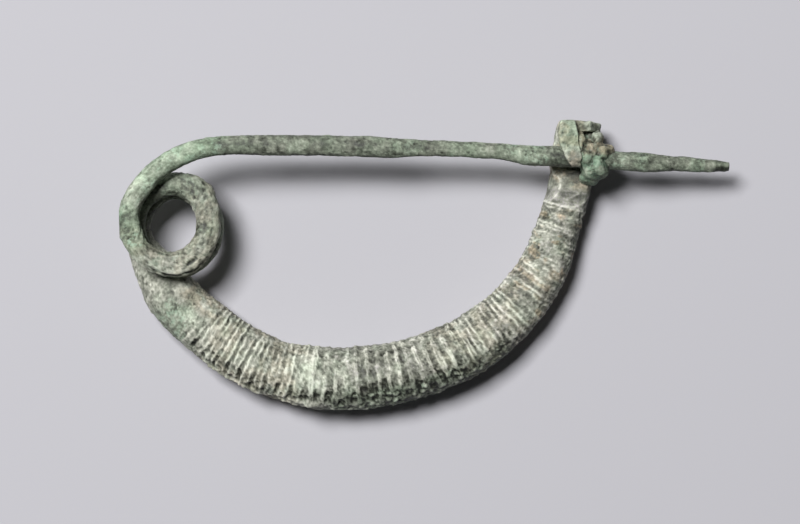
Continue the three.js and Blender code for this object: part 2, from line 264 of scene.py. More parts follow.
def lay(s, turn):
    """Base points of rings at s: positions, outward normals, and each point's s and turn."""
    q = at(s)
    ahead, behind = at(np.minimum(s + 0.05, S_END)), at(np.maximum(s - 0.05, 0))
    t = ahead[:, :3] - behind[:, :3]
    t[:, 2] = 0
    t /= np.linalg.norm(t, axis=1)[:, None]
    across = np.stack([t[:, 1], -t[:, 0], np.zeros(len(t))], axis=1)       # t x up
    sn, cs = np.sin(turn)[None], np.cos(turn)[None]
    e = (2 / q[:, 5])[:, None]
    x = q[:, 3][:, None] * np.sign(sn) * np.abs(sn) ** e
    z = q[:, 4][:, None] * np.sign(cs) * np.abs(cs) ** e
    p = q[:, None, :3] + across[:, None, :] * x[..., None]
    p[..., 2] += z
    # normal of the section's outline, in its own plane
    x2, z2 = np.roll(x, -1, 1) - np.roll(x, 1, 1), np.roll(z, -1, 1) - np.roll(z, 1, 1)
    ln = np.hypot(x2, z2) + 1e-12
    nx, nz = -z2 / ln, x2 / ln
    flip = np.sign(nx * x + nz * z)
    flip[flip == 0] = 1
    nrm = across[:, None, :] * (nx * flip)[..., None]
    nrm[..., 2] += nz * flip
    return p, nrm, np.repeat(s[:, None], len(turn), 1), np.repeat(turn[None], len(s), 0), x, z


# ------------------------------------------------------------------ ribs
edges, pitches, tops, heights, channels = [], [], [], [], []
edge, i = RIB_FIRST, 0
while edge > RIB_LAST:
    pitch = float(look(RIB_SPACING, edge, 1))
    worn = 0.3 + 0.7 * float(smooth((edge - RIB_LAST) / 14))
    edges.append(edge)
    pitches.append(pitch)
    tops.append(RIB_TOP * (1 + 0.10 * uneven(i, 1)))
    heights.append(RIB_HEIGHT * worn * (1 + 0.2 * uneven(i, 2)))
    channels.append(float(look(RIB_SPACING, edge, 2)))
    edge -= pitch
    i += 1
edges, pitches, tops, heights, channels = map(np.array, (edges, pitches, tops, heights, channels))
RIB_END = edge


def rib_profile(angle):
    """The ribbing at an angle of the bow: how near a raised line is, how deep in a groove, and the rib's height in mm. Each rib is a band with a raised line on both edges and a shallow channel between them."""
    k = np.clip(np.searchsorted(-edges, -angle, side="right") - 1, 0, len(edges) - 1)
    t = np.clip((edges[k] - angle) / pitches[k], 0, 1)
    single = np.maximum(band(edges[k], -96, -62, 8), 0.5 * smooth((edges[k] + 44) / 12))   # in the middle and by the foot the two lines have run together
    top = tops[k] * (1 - 0.62 * single)
    wide = 0.165 + 0.055 * single
    line = np.exp(-(np.minimum(t, 1 - t) / wide) ** 2)
    line = np.maximum(line, np.exp(-((t - top) / wide) ** 2))
    groove = smooth((t - top) / 0.16) * smooth((1 - t) / 0.16)
    there = ((angle <= edges[0] + 0.01) & (angle >= RIB_END)).astype(float)
    near = smooth((edges[0] + 0.9 - angle) / 0.9) * (angle > edges[0])
    return line * there + near * (1 - there), groove * there, heights[k] * there + 0.3 * near * (1 - there), top, t


def bow_angle(p):
    return np.degrees(np.arctan2(p[:, 1] - BOW_CENTRE[1], p[:, 0] - BOW_CENTRE[0]))


def strip(angle):
    """Distance along the bow from its shoulder, in steps of 0.15 mm: 0 at the shoulder, about 530 at the foot."""
    return (angle + 139.9) / 0.2546


# ------------------------------------------------------------------ the relief of each part of the bar


def relief(p, s, turn, x, z):
    """How far each point moves out, in mm, and the marks that its colour takes from the form."""
    n = len(p)
    c, sn = np.cos(turn), np.sin(turn)
    on_bow = smooth((S_BOW + 1.5 - s) / 2.0)
    angle = bow_angle(p)
    u = strip(angle)
    zero = np.zeros(n)
    flow = np.stack([s, x, z], axis=1)
    side = x / 4.3                                     # -1 at the outer edge of the bow, 1 at its inner edge

    # --- ribs: they wander, fork and break up
    polar = lambda ks, kt, seed: noise(np.stack([s * ks, turn * kt, zero], 1), 1.0, seed)
    warp = 0.24 * polar(0.45, 1.6, 3) + 0.20 * polar(0.22, 0.9, 7) + 0.34 * fbm(p, 1.0, 3, 5, 0.65)
    line, groove, size, top, t = rib_profile(angle + warp)
    reach = 0.95 * smooth((c + 0.45) / 1.0) + 0.05 * smooth((c + 0.9) / 0.3)
    strong = np.clip(0.70 + 0.60 * polar(0.9, 1.5, 17) + 1.25 * fbm(p, 1.2, 4, 19, 0.65), 0.0, 1.5)
    filled = smooth((fbm(p, 3.2, 3, 41) - 0.16) / 0.25)
    pale_patch = band(u, 150, 195, 10) * band(side, -0.35, 0.55, 0.25)
    flank = smooth((-side - 0.25) / 0.35)
    edge_rough = flank * band(u, 185, 345, 25)
    show = reach * on_bow * smooth((u - 16) / 30) * (1 - 0.45 * filled) * (1 - 0.55 * pale_patch) * (1 - 0.70 * edge_rough)
    ribs = size * show * (0.54 * (line - 0.3) * strong - 0.24 * groove) * (1 - 0.30 * band(u, 390, 520, 40))
    deep = groove * reach * on_bow * (flank * band(u, 45, 185, 25) * 1.0 + 0.75 * band(u, 185, 300, 20) * smooth((0.15 - side) / 0.5))
    deep = deep * np.clip(0.65 + 1.4 * fbm(p, 1.5, 3, 23, 0.6), 0, 1.4) * smooth((side + 0.90) / 0.16)
    margin = on_bow * smooth((-side - 0.80) / 0.12) * band(u, 40, 200, 15)
    ribs = ribs * (1 - 0.75 * margin)
    d_bow = ribs - 0.26 * deep

    # --- crust, pits and grains, everywhere
    crust = 0.055 * fbm(p, 1.9, 3, 61) + 0.105 * fbm(p, 0.80, 3, 71, 0.7)
    plate = 0.07 * smooth((fbm(p, 2.1, 3, 81) - 0.02) / 0.10) - 0.035
    f1, mark = cells(p, 0.95, 91)
    pits = -0.13 * smooth((0.34 - f1) / 0.22) * (mark > 0.70)
    f2, mark2 = cells(p, 0.62, 131)
    grains = 0.085 * smooth((0.45 - f2) / 0.30) * (mark2 > 0.5)

    # --- globules, seam and nodules on the outer flank
    f3, mark3 = cells(p, 1.15, 171)
    glob = 0.21 * np.sqrt(np.clip(1 - (f3 / (0.24 + 0.26 * mark3)) ** 2, 0, 1)) * (mark3 > 0.25) * smooth((-side - 0.38) / 0.2) * smooth((c + 0.3) / 0.3) * band(u, 180, 335, 20)
    f4, mark4 = cells(np.stack([s, x * 1.0, z], 1), 1.9, 181)
    knolls = 0.16 * smooth((0.62 - f4) / 0.5) * flank * band(u, 40, 200, 20) * on_bow
    seam_at = turn + math.radians(68) + 0.07 * polar(0.4, 0.0, 201)
    seam = 0.20 * np.exp(-((seam_at) / 0.11) ** 2) * band(u, 52, 118, 14)
    bump = lambda a0, t0, ra, rt, hgt: hgt * np.exp(-(((angle - a0) / ra) ** 2 + ((turn - math.radians(t0)) / math.radians(rt)) ** 2) ** 1.6) * on_bow
    knobs = bump(-87.7, 66, 1.1, 13, 0.26) + bump(-99.0, -60, 2.6, 14, 0.30) + bump(-60.0, -58, 1.5, 11, 0.22) + bump(-73.5, -66, 1.1, 9, 0.18)
    d_bow = d_bow + seam + knobs + glob + knolls
    # --- plain foot: ridge at its end, hollowed lens-shaped facets at each side
    foot = smooth((angle + 14.6) / 1.0) * on_bow
    ridge_at = angle + 13.6 - 0.35 * side + 0.22 * fbm(p, 1.4, 2, 211)
    ridge = 0.13 * np.exp(-((ridge_at) / 0.36) ** 2) * smooth((c + 0.2) / 0.5) * on_bow
    cut_l = 1 - ((angle + 9.3 + 1.2 * (side - 0.7)) / 3.7) ** 2 - ((side - 0.66) / 0.30) ** 2
    cut_r = 1 - ((angle + 11.3) / 1.9) ** 2 - ((side + 0.34 + 0.10 * (angle + 11.3)) / 0.27) ** 2
    cuts = foot * (0.30 * np.clip(cut_l, 0, 1) + 0.26 * np.clip(cut_r, 0, 1)) * smooth(c / 0.35)
    arris = foot * (np.exp(-(cut_l / 0.16) ** 2) + 0.8 * np.exp(-(cut_r / 0.22) ** 2)) * smooth((c + 0.1) / 0.3)
    d_bow = d_bow + ridge - cuts - 0.06 * foot * smooth((0.35 - np.abs(side)) / 0.2)

    calm = 1 - 0.60 * foot
    rough = (crust + plate + pits + grains) * calm
    lumpy = 1 + 0.6 * flank * band(u, 60, 345, 25) * on_bow
    d = on_bow * d_bow + rough * lumpy

    # --- wire: hammered facets, streaks and splits, crust on the open side of the spring
    on_wire = smooth((s - S_BOW - 6) / 5)
    lap = np.clip((s - S_WIRE) / ((S_COIL - S_WIRE) / 2), -1, 3)
    in_coil = band(s, S_WIRE + 4, S_COIL - 2, 4)
    crusted = in_coil * band(lap, 1.32, 1.93, 0.10)
    outside = smooth((-x / 1.55 + 0.15) / 0.6)
    facets = 0.045 * noise(np.stack([s * 0.16, x, z], 1), 1.15, 231) + 0.022 * noise(np.stack([s * 0.30, x, z], 1), 0.55, 241)
    split = smooth((noise(np.stack([s * 0.20 + 0.3 * noise(p, 1.5, 255), x, z], 1), 0.50, 251) - 0.30) / 0.2)
    dents = -0.07 * smooth((noise(p, 2.4, 261) - 0.35) / 0.3)
    tip = smooth((s - S_END + 2.7) / 0.9)
    chip = -0.30 * tip * smooth((turn + 0.35) / 0.7) * smooth((2.2 - turn) / 0.6) * (0.6 + 0.4 * noise(p, 0.7, 271))
    split = split * (0.10 + 0.75 * crusted * outside * smooth((noise(p, 2.2, 257) + 0.05) / 0.3) * smooth((lap - 1.47) / 0.08))
    d_wire = facets - split * 0.22 + dents + chip + crusted * (0.12 * fbm(p, 1.6, 3, 281) + 0.16 * fbm(np.stack([s * 0.33, x, z], 1), 1.1, 3, 285, 0.6) + 0.03) * (0.2 + 0.8 * smooth((-x / 1.55 + 0.55) / 0.6))
    d = d * (1 - 0.45 * on_wire * (1 - crusted)) + on_wire * d_wire
    # turns of the spring keep clear of each other: calm where they face one another
    facing = smooth((np.abs(c) - 0.80) / 0.10)
    pressed = facing * np.where(c > 0, band(lap, -0.1, 1.02, 0.05), band(lap, 0.9, 2.1, 0.05)) * (lap > -0.5)
    d = np.where(d > 0, d * (1 - 0.8 * pressed), d)

    return d, dict(line=line * show * np.clip(strong, 0, 1.1), groove=groove * show, deep=deep, show=show, foot=foot, flank=flank * on_bow, side=side, bow=on_bow,
                   wire=on_wire, u=u, angle=angle, turn=turn, s=s, lap=lap, flow=flow, crusted=crusted, split=split * on_wire, tip=tip,
                   glob=glob * on_bow / 0.21, margin=margin, knob=knobs * on_bow, rim=np.exp(-((ridge_at) / 0.42) ** 2) * on_bow * smooth((c + 0.1) / 0.3), arris=arris, cut_l=foot * np.clip(cut_l * 3, 0, 1), cut_r=foot * np.clip(cut_r * 3, 0, 1),
                   plate=plate / 0.035, filled=filled, pale=pale_patch * on_bow)


def tube():
    """The whole bar as one closed skin."""
    blocks = [(s_bow, TURN_THICK), (s_shoulder, TURN_THICK), (s_wire, TURN_WIRE)]
    verts, sources, starts, counts = [], [], [], []
    start = 0
    for s, turn in blocks:
        p, nrm, ss, tt, x, z = lay(s, turn)
        shape = p.shape[:2]
        flat = lambda v: v.reshape(-1, *v.shape[2:])
        d, masks = relief(flat(p), flat(ss), flat(tt), flat(x), flat(z))
        q = flat(p) + flat(nrm) * d[:, None]
        verts.append(q)
        sources.append(masks)
        for r in range(shape[0]):
            starts.append(start + r * shape[1])
            counts.append(shape[1])
        start += len(q)
    verts = np.vstack(verts)
    masks = {k: np.concatenate([m[k] for m in sources]) for k in sources[0]}
    faces = []
    tri = []
    for r in range(len(starts) - 1):
        a, b, na, nb = starts[r], starts[r + 1], counts[r], counts[r + 1]
        if na == nb:
            j = np.arange(na)
            faces.append(np.stack([a + j, a + (j + 1) % na, b + (j + 1) % na, b + j], 1))
        else:
            for j in range(nb):
                p0, p1, p2 = a + 2 * j, a + 2 * j + 1, a + (2 * j + 2) % na
                q0, q1 = b + j, b + (j + 1) % nb
                tri += [(p0, p1, q0), (p1, q1, q0), (p1, p2, q1)]
    faces = np.vstack(faces)
    # caps
    ends = []
    for r, first in ((0, True), (len(starts) - 1, False)):
        a, na = starts[r], counts[r]
        centre = verts[a : a + na].mean(0)
        centre_i = len(verts) + len(ends)
        ends.append(centre)
        for j in range(na):
            f = (a + j, a + (j + 1) % na, centre_i)
            tri.append(f[::-1] if first else f)
    verts = np.vstack([verts, ends])
    for k, v in masks.items():
        tail = np.repeat(v[-1:], len(ends), 0)
        tail[0] = v[0]
        masks[k] = np.concatenate([v, tail])
    return verts, faces, np.array(tri), masks


def mesh_object(name, verts, quads=None, tris=None):
    me = bpy.data.meshes.new(name)
    polys = ([] if quads is None else quads.tolist()) + ([] if tris is None else tris.tolist())
    me.from_pydata(verts.tolist(), [], polys)
    me.update()
    ob = bpy.data.objects.new(name, me)
    bpy.context.scene.collection.objects.link(ob)
    return ob


def outward(ob):
    """Turns the mesh's faces outwards, by its signed volume."""
    me = ob.data
    me.calc_loop_triangles()
    t = np.empty(len(me.loop_triangles) * 3, np.int32)
    me.loop_triangles.foreach_get("vertices", t)
    v = np.empty(len(me.vertices) * 3)
    me.vertices.foreach_get("co", v)
    v, t = v.reshape(-1, 3), t.reshape(-1, 3)
    volume = np.einsum("ij,ij->i", v[t[:, 0]], np.cross(v[t[:, 1]], v[t[:, 2]])).sum() / 6
    if volume < 0:
        me.flip_normals()
    return abs(volume)


def evaluated(ob):
    dg = bpy.context.evaluated_depsgraph_get()
    me = bpy.data.meshes.new_from_object(ob.evaluated_get(dg))
    old = ob.data
    ob.modifiers.clear()
    ob.data = me
    bpy.data.meshes.remove(old)


def boolean(a, b, how, solver="MANIFOLD"):
    m = a.modifiers.new("b", "BOOLEAN")
    m.operation, m.solver, m.object = how, solver, b
    evaluated(a)
    bpy.data.objects.remove(b)


def coords(ob):
    v = np.empty(len(ob.data.vertices) * 3)
    ob.data.vertices.foreach_get("co", v)
    return v.reshape(-1, 3)


def normals(ob):
    v = np.empty(len(ob.data.vertices) * 3)
    ob.data.vertex_normals.foreach_get("vector", v)
    return v.reshape(-1, 3)


def set_coords(ob, v):
    ob.data.vertices.foreach_set("co", v.ravel())
    ob.data.update()


def ease(ob, times, keep=0.5):
    """Plain smoothing along the edges."""
    e = np.empty(len(ob.data.edges) * 2, np.int32)
    ob.data.edges.foreach_get("vertices", e)
    e = e.reshape(-1, 2)
    v = coords(ob)
    count = np.bincount(e.ravel(), minlength=len(v)).astype(float)[:, None]
    for _ in range(times):
        total = np.zeros_like(v)
        for c in range(3):
            total[:, c] = np.bincount(e[:, 0], v[e[:, 1], c], len(v)) + np.bincount(e[:, 1], v[e[:, 0], c], len(v))
        v = v * keep + (1 - keep) * total / np.maximum(count, 1)
    set_coords(ob, v)


def prism(name, points, lo, hi, axes):
    """An outline drawn out between lo and hi along the third axis."""
    u, v, w = axes
    ring = len(points)
    verts = np.zeros((2 * ring, 3))
    for k, (a, b) in enumerate(points):
        verts[k, u] = verts[ring + k, u] = a
        verts[k, v] = verts[ring + k, v] = b
        verts[k, w], verts[ring + k, w] = lo, hi
    me = bpy.data.meshes.new(name)
    polys = [list(range(ring))[::-1], list(range(ring, 2 * ring))] + [[k, (k + 1) % ring, ring + (k + 1) % ring, ring + k] for k in range(ring)]
    me.from_pydata(verts.tolist(), [], polys)
    me.update()
    ob = bpy.data.objects.new(name, me)
    bpy.context.scene.collection.objects.link(ob)
    outward(ob)
    return ob


# ------------------------------------------------------------------ catch and lump
def catch():
    outer, inner = 2.3, 0.7
    out = [(CATCH_ROOT, 1.6), (CATCH_ROOT + 2.4, PLATE_UNDER - 0.4), (CATCH_END - outer, PLATE_UNDER)]
    for k in range(1, 9):
        t = k / 8 * math.pi / 2
        out.append((CATCH_END - outer + outer * math.sin(t), PLATE_UNDER + outer * (1 - math.cos(t))))
    for k in range(9):
        t = k / 8 * math.pi / 2
        out.append((CATCH_END - 1.9 + 1.9 * math.cos(t), FLAP[1] - 1.9 + 1.9 * math.sin(t)))
    out += [(FLAP_END + 2.6, FLAP[1] - 0.05), (FLAP_END + 1.2, FLAP[1] - 0.55), (FLAP_END + 0.3, FLAP[1] - 1.25), (FLAP_END, FLAP[1] - 1.95),
            (FLAP_END + 0.25, FLAP[0] - 1.15), (FLAP_END + 0.9, FLAP[0] - 0.65), (FLAP_END + 1.9, FLAP[0] - 0.30), (FLAP_END + 2.9, FLAP[0] - 0.10)]
    for k in range(5):
        t = k / 4 * math.pi / 2
        out.append((CATCH_END - WALL - inner + inner * math.sin(t), FLAP[0] - inner + inner * math.cos(t)))
    for k in range(5):
        t = k / 4 * math.pi / 2
        out.append((CATCH_END - WALL - inner + inner * math.cos(t), PLATE_TOP + inner * (1 - math.sin(t))))
    out.append((CATCH_ROOT, PLATE_TOP))
    body = prism("catch", out, 21, 31, (1, 2, 0))
    boolean(body, prism("plan", CATCH_PLAN, 0.5, 13, (0, 1, 2)), "INTERSECT", "EXACT")
    lost_right = [(25.30, CATCH_END + 1), (26.15, 18.6), (26.20, 17.2), (26.60, 15.7), (26.60, 13.0), (31, 13.0), (31, CATCH_END + 1)]
    boolean(body, prism("lost", lost_right, WALL_BROKEN, 13, (0, 1, 2)), "DIFFERENCE", "EXACT")
    lost_left = [(21, 18.7), (23.15, 18.7), (23.42, 17.1), (24.3, 15.1), (25.2, 13.9), (25.2, 13.0), (21, 13.0)]
    boolean(body, prism("lost", lost_left, PLATE_TOP + 0.9, 13, (0, 1, 2)), "DIFFERENCE", "EXACT")
    fall = [(WALL_RIGHT, WALL_BROKEN + 0.1), (WALL_RIGHT + 1.75, PLATE_TOP + 0.6), (31, PLATE_TOP + 0.6), (31, 14), (WALL_RIGHT, 14)]
    boolean(body, prism("lost", fall, 14, 24, (0, 2, 1)), "DIFFERENCE", "EXACT")
    m = body.modifiers.new("r", "REMESH")
    m.mode, m.voxel_size, m.adaptivity = "VOXEL", 0.20, 0.0
    evaluated(body)
    ease(body, 6)
    v, nrm = coords(body), normals(body)
    d = 0.12 * fbm(v, 1.8, 3, 301) + 0.10 * fbm(v, 0.7, 3, 311, 0.65) - 0.10 * smooth((0.30 - cells(v, 0.9, 321)[0]) / 0.2)
    set_coords(body, v + nrm * d[:, None])
    lump = None
    for k, (x, y, z, a, b, c) in enumerate(LUMPS + CRUST):
        me = bpy.data.meshes.new("lump")
        ob = bpy.data.objects.new("lump", me)
        bpy.context.scene.collection.objects.link(ob)
        bm = bmesh.new()
        bmesh.ops.create_icosphere(bm, subdivisions=5, radius=1.0)
        bm.to_mesh(me)
        bm.free()
        v = coords(ob)
        knob = 1 + 0.07 * np.sin(5.1 * v[:, 0] + 2.3 * v[:, 1] + k) + 0.06 * np.sin(4.3 * v[:, 1] - 3.7 * v[:, 2] + 2 * k) + 0.04 * np.sin(7.9 * v[:, 2] + 6.1 * v[:, 0])
        set_coords(ob, v * knob[:, None] * np.array([a, b, c]) + np.array([x, y, z]))
        outward(ob)
        if lump is None:
            lump = ob
        else:
            boolean(lump, ob, "UNION")
    m = lump.modifiers.new("r", "REMESH")
    m.mode, m.voxel_size, m.adaptivity = "VOXEL", 0.20, 0.0
    evaluated(lump)
    ease(lump, 4)
    v, nrm = coords(lump), normals(lump)
    f1, mark = cells(v, 1.25, 351)
    f2, mark2 = cells(v, 0.62, 361)
    d = 0.06 * (0.45 - f1) + 0.10 * (0.40 - f2) + 0.13 * fbm(v, 0.9, 4, 371, 0.75)
    set_coords(lump, v + nrm * d[:, None])
    return body, lump


bar_v, bar_q, bar_t, masks = tube()
bar_v[:, 2] = np.maximum(bar_v[:, 2], 0.0)
bar = mesh_object("bar", bar_v, bar_q, bar_t)
outward(bar)
body, lump = catch()
catch_v, lump_v = coords(body), coords(lump)
boolean(body, lump, "UNION")
boolean(bar, body, "UNION")
brooch = bar
brooch.name = "fibula_bronze"
brooch.data.validate(clean_customdata=False)
final = coords(brooch)

# ------------------------------------------------------------------ masks for the colour
# each final point takes its marks from the nearest point of the skin it came from
sources = np.vstack([bar_v, catch_v, lump_v])
which = np.concatenate([np.zeros(len(bar_v)), np.ones(len(catch_v)), np.full(len(lump_v), 2)]).astype(int)
tree = KDTree(len(sources))
for k, v in enumerate(sources):
    tree.insert(v, k)
tree.balance()
near = np.array([tree.find(v)[1] for v in final])
kind = which[near]
is_bar = kind == 0
idx = np.where(is_bar, near, 0)
take = lambda name: masks[name][idx]


def paint(name, values):
    a = brooch.data.attributes.new(name, "FLOAT", "POINT")
    a.data.foreach_set("value", np.clip(np.asarray(values, np.float32), -1, 1))


n = len(final)
g = {k: take(k) for k in masks}
bar_f = is_bar.astype(float)
u, side, lap = g["u"], g["side"], g["lap"]
bow, wire, foot = g["bow"] * bar_f, g["wire"] * bar_f, g["foot"] * bar_f
px, py, pz = final.T
pin = smooth((g["s"] - S_COIL - 2) / 6) * bar_f
coil = band(g["s"], S_WIRE + 2, S_COIL + 1, 4) * bar_f
is_lump = (kind == 2).astype(float)
is_catch = (kind == 1).astype(float)
crusted = g["crusted"] * bar_f
bend = pin * smooth((-24.0 - px) / 4) + coil * band(lap, 1.90, 2.10, 0.05)

e = np.empty(len(brooch.data.edges) * 2, np.int32)
brooch.data.edges.foreach_get("vertices", e)
e = e.reshape(-1, 2)
nrm = normals(brooch)


def spread(v, times):
    count = 1 + np.bincount(e.ravel(), minlength=n)
    for _ in range(times):
        v = (v + np.bincount(e[:, 0], v[e[:, 1]], n) + np.bincount(e[:, 1], v[e[:, 0]], n)) / count
    return v


def stands_out(times, scale):
    """How much each point stands out of what is round it."""
    soft = np.stack([spread(final[:, c], times) for c in range(3)], 1)
    v = np.einsum("ij,ij->i", final - soft, nrm)
    return np.clip(v / scale, -1.5, 1.5)


near_form, wide_form = stands_out(2, 0.022), stands_out(9, 0.060)
blot = fbm(final, 2.6, 4, 401, 0.6)            # patches
blot2 = fbm(final, 1.1, 3, 411, 0.6)
across_run = fbm(np.stack([g["s"] * 1.0, g["turn"] * 1.1, np.zeros(n)], 1), 0.8, 3, 421) * bar_f * bow
along_run = fbm(np.stack([g["s"] * 0.22, side * 3.0, np.zeros(n)], 1), 0.9, 3, 431) * bar_f * (1 - bow)

# tone: 0 dark to 1 pale
speck = fbm(final, 0.62, 3, 415, 0.65)
tone = 0.56 + 0.06 * near_form + 0.10 * wide_form + 0.18 * blot + 0.15 * blot2 + 0.16 * speck * (1 - 0.55 * wire)
tone += bow * (0.15 * (g["line"] - 0.25) - 0.05 * g["groove"] - 0.18 * np.clip(g["deep"], 0, 1) + 0.13 * across_run)
tone += 0.13 * along_run
tone -= 0.24 * bar_f * band(lap, 1.94, 2.02, 0.03) * smooth((0.22 - side) / 0.3) * smooth((blot2 + 0.45) / 0.3)
tone += bow * (0.05 * band(u, 20, 150, 20) - 0.02 * band(u, 190, 300, 20) + 0.08 * g["pale"] + 0.03 * band(u, 330, 420, 30))
tone -= 0.17 * bow * g["flank"] * band(u, 195, 345, 20) * (1 - g["glob"]) + 0.06 * bow * g["flank"] * band(u, 30, 500, 20)
tone += 0.14 * g["glob"] * bar_f * (0.6 + 0.8 * blot2) + 0.12 * g["margin"] * bar_f
# on the foot: painted shade darkens its outer side, and painted highlight lightens the two hollowed facets and their
# edges; the foot is also darker towards its end
tone -= foot * (0.04 + 0.06 * smooth((g["angle"] + 9.5) / 2.5) - 0.14 * g["arris"] - 0.07 * g["cut_l"] - 0.03 * g["cut_r"] + 0.14 * band(side, -1.1, -0.66, 0.1))
tone += 0.16 * g["rim"] * bar_f
tone -= 0.24 * pin + 0.19 * coil - 0.17 * bend - 0.06 * crusted
tone -= 0.30 * g["split"] * bar_f
tone -= 0.28 * g["tip"] * bar_f * smooth((g["turn"] + 0.2) / 0.4)
tone -= np.clip(g["knob"] / 0.3, 0, 1) * smooth(g["turn"] / 0.3) * bar_f * 0.35
tongue = is_catch * smooth((pz - 9.9) / 0.6) * smooth((26.6 - px) / 0.4)
sliver = is_catch * smooth((23.9 - px) / 0.3) * smooth((8.2 - pz) / 0.5)
tone += -0.08 * is_catch + 0.13 * tongue + 0.20 * sliver - 0.14 * is_lump
pin_pale = 0.6 * band(px, 7.5, 10.5, 1.2) + 0.7 * band(px, 16.5, 21.5, 1.5) + 0.5 * band(px, 31.5, 36.0, 1.0) + 0.7 * band(px, 43.0, 44.6, 0.6) + 0.3 * band(px, -1.0, 2.0, 1.0)
tone += 0.12 * pin * pin_pale

malachite = is_lump * smooth((16.3 + 0.5 * blot - py) / 1.0)
green = 0.02 * bow + 0.34 * coil + 0.36 * pin + 0.40 * bend + 0.30 * is_catch * (1 - sliver) + 0.25 * tongue * smooth((py - 16.6) / 1.0) - 0.2 * tongue * smooth((16.6 - py) / 1.0) + 0.15 * is_lump + 0.5 * malachite - 0.22 * crusted
green += 0.30 * bow * (g["flank"] * band(u, 185, 345, 20) + band(u, -30, 26, 10) * smooth((0.5 - side) / 0.6) + 0.35 * g["pale"])
green += 0.30 * fbm(final, 1.7, 3, 441) + 0.25 * pin * pin_pale
mint = 0.75 * bend + 0.65 * pin * pin_pale + 0.6 * bow * band(u, -25, 28, 12) * smooth((0.6 - side) / 0.7) + 0.15 * g["pale"] * bar_f + 0.2 * coil + 0.35 * is_lump + 0.4 * g["glob"] * bar_f
mint = mint * smooth((fbm(final, 1.9, 4, 451, 0.6) + 0.12 + 0.1 * mint) / 0.35)
in_bands = fbm(np.stack([g["s"] * 0.9, g["turn"] * 1.1, np.zeros(n)], 1), 1.0, 2, 465)
brown = bow * ((1.5 * band(u, 440, 492, 12) + 0.7 * band(u, 395, 440, 20)) * (1 - foot) * smooth((in_bands + 0.10) / 0.25) * (0.25 + 0.75 * (1 - g["groove"])) + 0.30 * band(u, 300, 400, 30) + 0.45 * band(u, -20, 40, 20) * smooth((side - 0.1) / 0.4) + 0.35 * band(u, 60, 140, 20))
brown += 0.7 * foot * smooth((g["angle"] + 10.0) / 2.5) * (1 - 0.8 * np.clip(g["arris"], 0, 1)) + 0.45 * is_catch + 0.25 * crusted + 0.8 * (is_lump - malachite)
brown = 1.15 * brown * smooth((fbm(final, 2.4, 3, 461, 0.6) + 0.30) / 0.30) * (1 - 0.8 * g["line"] * bar_f)
lavender_and_glints = smooth((fbm(final, 2.2, 3, 471) - 0.05) / 0.2) * 0.35 * bow * band(u, 180, 470, 40) + 0.8 * foot * band(g["angle"], -13.2, -9.5, 1.2)
# painted highlight: small pale lavender-white glints scattered over the middle of the bow, raising the tone and the
# lavender tint
fs, ms = cells(final, 1.0, 481)
painted_glints = smooth((0.36 - fs) / 0.12) * (ms > 0.62) * bow * band(u, 190, 270, 15) * band(side, -0.05, 0.6, 0.15)
tone = tone + 0.22 * painted_glints
lavender_and_glints = lavender_and_glints + 0.9 * painted_glints


def paint(name, values):
    a = brooch.data.attributes.new(name, "FLOAT", "POINT")
    a.data.foreach_set("value", np.clip(np.asarray(values, np.float32), 0, 1))


for name, values in (("tone", tone), ("green", green), ("mint", mint), ("brown", brown), ("lavender_and_glints", lavender_and_glints), ("lump", malachite), ("bow", bow)):
    paint(name, values)
flow = np.where(is_bar[:, None], g["flow"], final) / 1000.0
a = brooch.data.attributes.new("flow", "FLOAT_VECTOR", "POINT")
a.data.foreach_set("vector", flow.astype(np.float32).ravel())

# to metres, in the part's frame, and inside the solid's box
final = (final - SHIFT) / 1000.0
lo = np.array(CAD_LO) + np.array([BOX_MARGIN, BOX_MARGIN, 0])
hi = np.array(CAD_HI) - BOX_MARGIN
final = np.clip(final, lo, hi)
set_coords(brooch, final)
brooch.data.polygons.foreach_set("use_smooth", np.ones(len(brooch.data.polygons), bool))

# ------------------------------------------------------------------ material
mat = bpy.data.materials.new("patinated_bronze")
mat.use_nodes = True
nt = mat.node_tree
nt.nodes.clear()
L = nt.links.new


def node(kind, **values):
    m = nt.nodes.new(kind)
    for k, v in values.items():
        setattr(m, k, v)
    return m


def lin(r, g, b):
    f = lambda c: ((c / 255 + 0.055) / 1.055) ** 2.4 if c / 255 > 0.04045 else c / 255 / 12.92
    return (f(r), f(g), f(b), 1.0)


def attr(name, vector=False):
    m = node("ShaderNodeAttribute", attribute_name=name)
    return m.outputs["Vector" if vector else "Fac"]


def put(socket, value):
    if isinstance(value, (int, float)):
        socket.default_value = value
    elif isinstance(value, tuple):
        socket.default_value = value
    else:
        L(value, socket)


def math_(op, a, b=0.0, clamp=False):
    m = node("ShaderNodeMath", operation=op, use_clamp=clamp)
    put(m.inputs[0], a)
    put(m.inputs[1], b)
    return m.outputs[0]


def rng(v, a, b, c=0.0, d=1.0):
    m = node("ShaderNodeMapRange", clamp=True, interpolation_type="SMOOTHSTEP")
    for k, x in enumerate((v, a, b, c, d)):
        put(m.inputs[k], x)
    return m.outputs[0]


def mix(fac, a, b):
    m = node("ShaderNodeMix", data_type="RGBA", clamp_factor=True)
    put(m.inputs[0], fac)
    put(m.inputs[6], a)
    put(m.inputs[7], b)
    return m.outputs[2]


def noise_(vec, scale, detail=4.0, rough=0.55, seed=0.0, stretch=None):
    mp = node("ShaderNodeMapping")
    L(vec, mp.inputs["Vector"])
    mp.inputs["Location"].default_value = (seed * 0.137, seed * 0.071, seed * 0.093)
    if stretch:
        mp.inputs["Scale"].default_value = stretch
    m = node("ShaderNodeTexNoise")
    L(mp.outputs[0], m.inputs["Vector"])
    m.inputs["Scale"].default_value = scale
    m.inputs["Detail"].default_value = detail
    m.inputs["Roughness"].default_value = rough
    return m.outputs[0]


def ramp(v, stops):
    m = node("ShaderNodeValToRGB")
    L(v, m.inputs[0])
    el = m.color_ramp.elements
    while len(el) < len(stops):
        el.new(0.5)
    for e_, (pos, colour) in zip(el, stops):
        e_.position = pos
        e_.color = colour
    return m.outputs[0]


